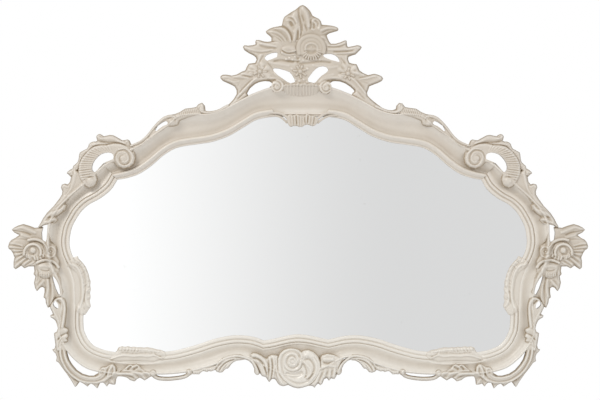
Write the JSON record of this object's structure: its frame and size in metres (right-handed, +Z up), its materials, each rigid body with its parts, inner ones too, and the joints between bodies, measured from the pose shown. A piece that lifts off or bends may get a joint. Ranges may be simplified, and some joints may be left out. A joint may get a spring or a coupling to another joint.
{
  "type": "wall mirror",
  "caption": "Landscape wall mirror in a pale carved rococo frame with a pierced crest, corner scrolls and flower sprays, hung by two swivelling D-rings.",
  "frame": {"origin": "on the wall-side face of the backing board, at the middle of the pictured outline's width and a little above the middle of the glass", "axes": "+Y points to the wall, the mirror faces -Y, +Z is up and +X is to the viewer's right"},
  "size_m": [1.2246, 0.045, 0.8063],
  "materials": {
    "ivory_lacquer": "satin ivory lacquer with a warm tan glaze in the hollows",
    "mirror": "polished silvered glass",
    "hardboard": "plain brown hardboard",
    "beech": "plain sanded wood",
    "zinc_steel": "bright zinc plate",
    "rubber": "matt black rubber"
  },
  "bodies": {
    "frame": {"mirror_glass": "mirror", "backing_board": "hardboard", "backing_screws": "zinc_steel", "top_rail_left": "ivory_lacquer", "top_rail_right": "ivory_lacquer", "side_rail_left": "ivory_lacquer", "side_rail_right": "ivory_lacquer", "bottom_rail_left": "ivory_lacquer", "bottom_rail_right": "ivory_lacquer", "apron_rail": "ivory_lacquer", "rail_dowels": "beech", "crest_openwork": "ivory_lacquer", "crest_plume": "ivory_lacquer", "crest_flower": "ivory_lacquer", "crest_bud": "ivory_lacquer", "crest_rosette_left": "ivory_lacquer", "crest_rosette_centre": "ivory_lacquer", "crest_rosette_right": "ivory_lacquer", "crest_panel": "ivory_lacquer", "sight_shell": "ivory_lacquer", "corner_scroll_left": "ivory_lacquer", "corner_scroll_right": "ivory_lacquer", "scroll_comb_left": "ivory_lacquer", "scroll_comb_right": "ivory_lacquer", "shoulder_scroll_left": "ivory_lacquer", "shoulder_scroll_right": "ivory_lacquer", "edge_leaf_left": "ivory_lacquer", "edge_leaf_right": "ivory_lacquer", "side_spray_left": "ivory_lacquer", "side_spray_right": "ivory_lacquer", "flower_upper_left": "ivory_lacquer", "flower_upper_right": "ivory_lacquer", "flower_lower_left": "ivory_lacquer", "flower_lower_right": "ivory_lacquer", "hook_scroll_left": "ivory_lacquer", "hook_scroll_right": "ivory_lacquer", "sight_ruffle_left": "ivory_lacquer", "sight_ruffle_right": "ivory_lacquer", "foot_scroll_left": "ivory_lacquer", "foot_scroll_right": "ivory_lacquer", "foot_sprig_left": "ivory_lacquer", "foot_sprig_right": "ivory_lacquer", "foot_ruffle_left": "ivory_lacquer", "foot_ruffle_right": "ivory_lacquer", "loop_scroll_left": "ivory_lacquer", "loop_scroll_right": "ivory_lacquer", "arch_comb_left": "ivory_lacquer", "arch_comb_right": "ivory_lacquer", "apron_leaf_left": "ivory_lacquer", "apron_leaf_right": "ivory_lacquer", "apron_cartouche": "ivory_lacquer", "hanger_strap_left": "zinc_steel", "hanger_strap_right": "zinc_steel", "hanger_screws": "zinc_steel", "wall_bumpers": "rubber", "crest_brace": "beech", "brace_screws": "zinc_steel"},
    "ring_left": {"hanger_ring_left": "zinc_steel"},
    "ring_right": {"hanger_ring_right": "zinc_steel"}
  },
  "joints": [
    {"name": "ring_left_hinge", "type": "hinge", "parent": "frame", "child": "ring_left", "pos_m": [-0.2505, 0.00258, 0.16412], "axis": [1, 0, 0], "range_deg": [0, 180]},
    {"name": "ring_right_hinge", "type": "hinge", "parent": "frame", "child": "ring_right", "pos_m": [0.25642, 0.00258, 0.16418], "axis": [1, 0, 0], "range_deg": [0, 180]}
  ]
}
